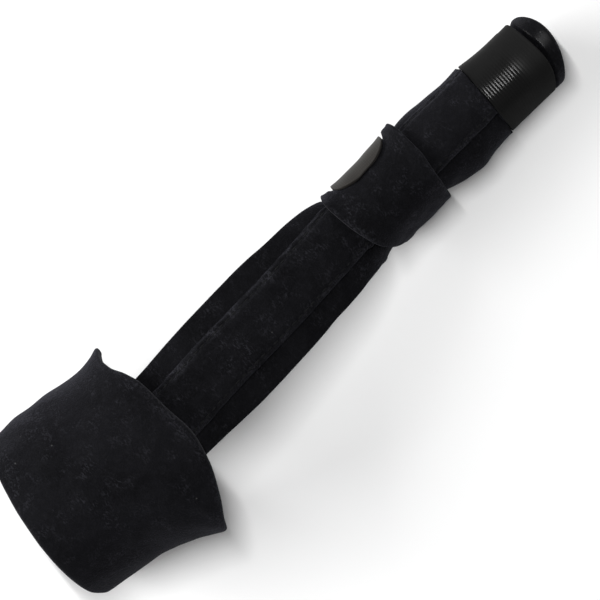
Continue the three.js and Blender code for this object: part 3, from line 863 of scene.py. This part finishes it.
LOW_CREST_WIDTH = 0.6 * MM
HIGH_CREST_IN = 0.6 * MM
HIGH_CREST_WIDTH = 0.5 * MM

# The strap laid flat. A band that is wrapped round the sleeve is longer than the way round the sleeve's own
# cloth, since it passes over the pocket and lies a layer further out.
WRAP_EXTRA = 14 * MM

# Both rims of the strap, at each cloth distance to the left of the centre line.
STRAP = Table("distance low high", [
    [-42, 32.8, 51.2],
    [-26, 32.8, 51.2],
    [-16, 32.4, 51.4],
    [-12, 29.8, 51.6],
    [-5, 25.8, 52.2],
    [2, 23.7, 53.6],
    [8, 23.2, 53.6],
    [16, 24.6, 52.4],
    [23, 25.0, 52.2],
])


def over_pocket(x, distance):
    """How far the pocket lifts a layer that is wrapped over it."""
    aside = np.abs(distance - STRIP("pocket_mid", x))
    return (LAYER_GAP + POCKET_RISE) * (1 - smoothstep(aside, SLOPE_FROM, SLOPE_TO))


def strap_height(x, distance, from_rim, share):
    """Heights through the strap: on the left the tab presses it thinner between its rims, which stay full,
    and the upper one stands out as a bead."""
    at_tab = bell(distance, TAB_SIDE, TAB_SIDE_WIDTH)
    bead = 1 - smoothstep(from_rim, RIM_BEAD_FROM, RIM_BEAD_TO)
    roll = smoothstep(x, ROLL_FROM, ROLL_TO)
    cloth = STRAP_CLOTH + at_tab * (RIM_ROLL * roll * bead - PRESSED * (1 - bead))
    return LAYER_GAP + over_pocket(x, distance) + RIM_LIFT * roll * at_tab * bead + cloth * share


def round_length(x):
    """The cloth's distance once round the sleeve."""
    breadth, depth = STRIP("half_breadth", x), STRIP("half_depth", x)
    angles = np.linspace(0, 2 * math.pi, 721)[:-1]
    return np.hypot(breadth * np.cos(angles), depth * np.sin(angles)).mean() * 2 * math.pi


def finger_strap():
    end = STRAP_START + STRAP_SLIT - round_length(STRAP_MIDDLE)
    along = stations(end, STRAP_START, STRAP_ROUND_PITCH, STRAP_EDGE)
    across = stations(0, STRAP_WIDTH, STRAP_WIDTH_PITCH, STRAP_EDGE)
    distance, from_low = np.meshgrid(along, across, indexing="ij")
    low, high = STRAP("low", distance), STRAP("high", distance)
    x = low + (high - low) * (from_low / STRAP_WIDTH)
    from_rim = np.minimum(x - low, high - x)
    ends = rounded(np.minimum(distance - end, STRAP_START - distance), STRAP_EDGE)
    full = ends * rounded(from_rim, STRAP_EDGE)
    broad = STRAP_BROAD_SAG * waves(x, distance, STRAP_BROAD_LENGTH, seed=31)
    fine = STRAP_FINE_SAG * waves(x, distance, STRAP_FINE_LENGTH, seed=32)

    def place(share):
        height = strap_height(x, distance, from_rim, share) + (broad + fine) * share
        return on_strip(x, distance, height)

    # Painted highlight: paler bands just inside both rims, stronger along the low rim.
    low_rim = 0.6 * bell(x - low, LOW_CREST_IN, LOW_CREST_WIDTH)
    high_rim = 0.35 * bell(high - x, HIGH_CREST_IN, HIGH_CREST_WIDTH)
    patchy = 0.7 + 0.4 * waves(x, distance, STRAP_CREST_LENGTH, seed=33)
    crest = np.clip((low_rim + high_rim) * patchy, 0, 1)
    return cloth_shell("strap_cloth", full, place, crest=crest)


strap = dress(finger_strap(), velour("strap_velour", 0.004), "strap_velour", "finger_strap")
round_length(STRAP_MIDDLE) + WRAP_EXTRA

# The strap's hook tab: the same grey hook tape, sewn to the strap's end under the left side. It bridges the
# gap to the strap's start and grips it with its round end.
FINGER_TAB_TIP = 7.4 * MM
FINGER_TAB_LENGTH = 17.5 * MM
FINGER_TAB_HALF = 10.1 * MM
FINGER_TAB_ROUND = 4.5 * MM
FINGER_TAB_X = 38.4 * MM
FINGER_TAB_ROWS = [1.8 * MM]


def place_finger_tab(from_tip, aside, share):
    distance = FINGER_TAB_TIP + from_tip
    x = FINGER_TAB_X + aside
    on_strap = strap_height(x, distance, RIM_BEAD_TO, 1) + LAYER_GAP
    return on_strip(x, distance, on_strap + TAPE_THICK * share)


finger_tab = hook_tab(
    "strap_hook_tab", FINGER_TAB_LENGTH, FINGER_TAB_HALF, FINGER_TAB_ROUND, place_finger_tab
)
dress(finger_tab, grey_hook, "hook_tape", "finger_tab")
finger_tab_rows = tab_rows(FINGER_TAB_LENGTH, FINGER_TAB_HALF, place_finger_tab, FINGER_TAB_ROWS)
finger_tab_seams = seam_lines("finger_tab_seams", finger_tab_rows)
finger_tab_stitches = grown("strap_tab_stitches", finger_tab_seams, sewing, **stitch_sizes)
dress(finger_tab_stitches, black_thread, "hook_tape")
flat, area = tab_cut(FINGER_TAB_LENGTH, FINGER_TAB_HALF, FINGER_TAB_ROUND, place_finger_tab)

# The fingertip tape: smooth black woven tape with fine ribs that run round, wound once round the sleeve
# near its tip. It starts low on the left, and its end lies over its own start. Pulled taut over the top,
# it shines.
TIP_TAPE_WIDTH = 20 * MM
TIP_TAPE_ROUND_PITCH = 0.7 * MM
TIP_TAPE_START = 20 * MM
TIP_TAPE_END = 15 * MM
TIP_TAPE_CLIMB = 6 * MM
TIP_TAPE_MIDDLE = 88 * MM
SHINE_MIDDLE = 0.5 * MM
SHINE_WIDTH = 5.5 * MM
SIDE_SHINE_FROM = 2 * MM
SIDE_SHINE_TO = 8 * MM
RIB_PITCH = 0.95 * MM
RIB_HEIGHT = 0.018 * MM
STEPS_PER_RIB = 8


def tip_tape():
    end = TIP_TAPE_END - round_length(TIP_TAPE_MIDDLE)
    overlap_from = TIP_TAPE_START - round_length(TIP_TAPE_MIDDLE)
    along = stations(end, TIP_TAPE_START, TIP_TAPE_ROUND_PITCH, TAPE_EDGE)
    across = stations(0, TIP_TAPE_WIDTH, RIB_PITCH / STEPS_PER_RIB, TAPE_EDGE)
    distance, from_low = np.meshgrid(along, across, indexing="ij")
    q = from_low / TIP_TAPE_WIDTH
    low, high = TIP_TAPE("low", distance), TIP_TAPE("high", distance)
    x = low + (high - low) * q
    climb = 1 - smoothstep(distance, overlap_from, overlap_from + TIP_TAPE_CLIMB)
    height = LAYER_GAP + over_pocket(x, distance) + (TAPE_THICK + LAYER_GAP) * climb
    ends = rounded(np.minimum(distance - end, TIP_TAPE_START - distance), TAPE_EDGE)
    full = ends * rounded(np.minimum(from_low, TIP_TAPE_WIDTH - from_low), TAPE_EDGE)

    def place(share):
        return on_strip(x, distance, height + TAPE_THICK * share)

    off_ground = smoothstep(place(1)[..., 2], 0, MM)
    over_top = bell(distance, SHINE_MIDDLE, SHINE_WIDTH) * (1 - 0.7 * smoothstep(q, 0.5, 0.85))
    taut = np.maximum(over_top, 0.3 * smoothstep(distance, SIDE_SHINE_FROM, SIDE_SHINE_TO))
    return cloth_shell("plain_tape", full, place, across=from_low, ribbed=off_ground * full, taut=taut)


def rib_tree(name, material):
    """A geometry tree that raises ribs on the outer face of a tape, whose points hold their place across
    it, and marks how far up a rib each point is."""
    tree = bpy.data.node_groups.new(name, "GeometryNodeTree")
    tree.interface.new_socket("Tape", in_out="INPUT", socket_type="NodeSocketGeometry")
    tree.interface.new_socket("Rib pitch", in_out="INPUT", socket_type="NodeSocketFloat")
    tree.interface.new_socket("Rib height", in_out="INPUT", socket_type="NodeSocketFloat")
    tree.interface.new_socket("Ribbed", in_out="OUTPUT", socket_type="NodeSocketGeometry")
    nodes = Nodes(tree)
    inputs = tree.nodes.new("NodeGroupInput")
    tape, pitch, height = (Value(nodes, socket) for socket in inputs.outputs[:3])

    def mark(label):
        return nodes.node("GeometryNodeInputNamedAttribute", {"data_type": "FLOAT"}, {"Name": label})

    wave = nodes.node("ShaderNodeMath", {"operation": "SINE"}, {0: mark("across") * math.pi / pitch})
    rib = nodes.node("ShaderNodeMath", {"operation": "ABSOLUTE"}, {0: wave})
    normal = nodes.node("GeometryNodeInputNormal")
    sockets = {"Vector": normal, "Scale": rib * height * mark("ribbed")}
    lift = nodes.node("ShaderNodeVectorMath", {"operation": "SCALE"}, sockets)
    sockets = {"Geometry": tape, "Name": "rib", "Value": rib}
    marked = nodes.node("GeometryNodeStoreNamedAttribute", sockets=sockets)
    raised = nodes.node("GeometryNodeSetPosition", sockets={"Geometry": marked, "Offset": lift})
    real = nodes.node("GeometryNodeRealizeInstances", sockets={"Geometry": raised})
    woven = nodes.node("GeometryNodeSetMaterial", sockets={"Geometry": real, "Material": material})
    nodes.node("NodeGroupOutput", sockets={0: woven})
    return tree


def woven_tape(name, shade):
    """Tightly woven tape with fine ribs: dull, and glossy where it is pulled taut."""
    finish = Finish(name)
    threads = finish.noise(0.28 * MM, 2)
    mottle = finish.noise(6 * MM, 3)
    colour = finish.blend(threads * 0.5 + mottle * 0.5, grey(shade * 0.6), grey(shade * 1.5))
    # Painted highlight: the tape's cut edges are painted paler, as a thin line of light along them.
    cut = finish.ramp(finish.mark("cut"), 0.3, 0.8)
    colour = finish.blend(cut * 0.6, colour, grey(shade * 5))
    taut = finish.mark("taut")
    height = finish.mark("rib") * (0.3 + 0.7 * taut) + threads * 0.1
    return finish.shader(
        Base_Color=colour,
        Roughness=0.85 - 0.7 * taut,
        Normal=finish.bump(height, 0.015 * MM),
        Specular_IOR_Level=0.09,
    )


plain_tape = tip_tape()
black_tape = woven_tape("black_woven_tape", 0.0055)
ribs = rib_tree("tape_ribs", black_tape)
tape = grown("tip_band", plain_tape.data, ribs, rib_pitch=RIB_PITCH, rib_height=RIB_HEIGHT)
bpy.data.objects.remove(plain_tape)
dress(tape, black_tape, "woven_tape", "tip_tape")
round_length(TIP_TAPE_MIDDLE) + WRAP_EXTRA

# The floor: a plain pale surface, wide enough for every view.
FLOOR_HALF = 4.0

floor_mesh = bpy.data.meshes.new("floor")
corners = [(-FLOOR_HALF, -FLOOR_HALF, 0), (FLOOR_HALF, -FLOOR_HALF, 0)]
corners += [(FLOOR_HALF, FLOOR_HALF, 0), (-FLOOR_HALF, FLOOR_HALF, 0)]
floor_mesh.from_pydata(corners, [], [(0, 1, 2, 3)])
floor = bpy.data.objects.new("floor", floor_mesh)
bpy.context.scene.collection.objects.link(floor)
pale = Finish("pale_floor")
floor_mesh.materials.append(pale.shader(Base_Color=grey(0.94), Roughness=0.9, Specular_IOR_Level=0.1))

# Studio light: a large soft box on the left of the view, a weak one at its upper right, a long thin one
# overhead for the glint on the tape's ribs, and a dim even surround.
SURROUND = 0.1

world = bpy.data.worlds.new("surround")
world.use_nodes = True
surround = world.node_tree.nodes["Background"]
surround.inputs["Color"].default_value = (1, 1, 1, 1)
surround.inputs["Strength"].default_value = SURROUND
bpy.context.scene.world = world
bpy.context.scene.view_settings.view_transform = "Standard"


def soft_box(name, place, size, power):
    """A rectangular lamp that faces the brace."""
    lamp = bpy.data.lights.new(name, "AREA")
    lamp.shape = "RECTANGLE"
    lamp.size, lamp.size_y = size
    lamp.energy = power
    box = bpy.data.objects.new(name, lamp)
    box.location = place
    box.rotation_euler = (-Vector(place)).to_track_quat("-Z", "Y").to_euler()
    bpy.context.scene.collection.objects.link(box)


soft_box("overhead_box", (0.03, 0.28, 1.25), (0.04, 0.6), 9)
soft_box("left_box", (-1.05, 0.9, 0.6), (1.4, 0.8), 33)
soft_box("right_box", (1.2, -0.1, 0.6), (1.4, 0.7), 7)

# The camera looks straight down on the brace, turned so that the strip runs from the lower left to the
# upper right, and frames it as closely as the photo does. PIXELS_PER_MM holds at SCALE_HEIGHT.
PHOTO_WIDTH = 600
PIXELS_PER_MM = 3.5
SCALE_HEIGHT = 25 * MM
CAMERA_HEIGHT = 1.5
CAMERA_OVER = (-1.61 * MM, -0.8 * MM)
CAMERA_TURN = math.radians(-44.76)
SENSOR_WIDTH = 36

camera_data = bpy.data.cameras.new("camera")
camera_data.sensor_width = SENSOR_WIDTH
field = PHOTO_WIDTH / PIXELS_PER_MM * MM
camera_data.lens = SENSOR_WIDTH * (CAMERA_HEIGHT - SCALE_HEIGHT) / field
camera = bpy.data.objects.new("camera", camera_data)
camera.location = (*CAMERA_OVER, CAMERA_HEIGHT)
camera.rotation_euler = (0, 0, CAMERA_TURN)
bpy.context.scene.collection.objects.link(camera)
bpy.context.scene.camera = camera
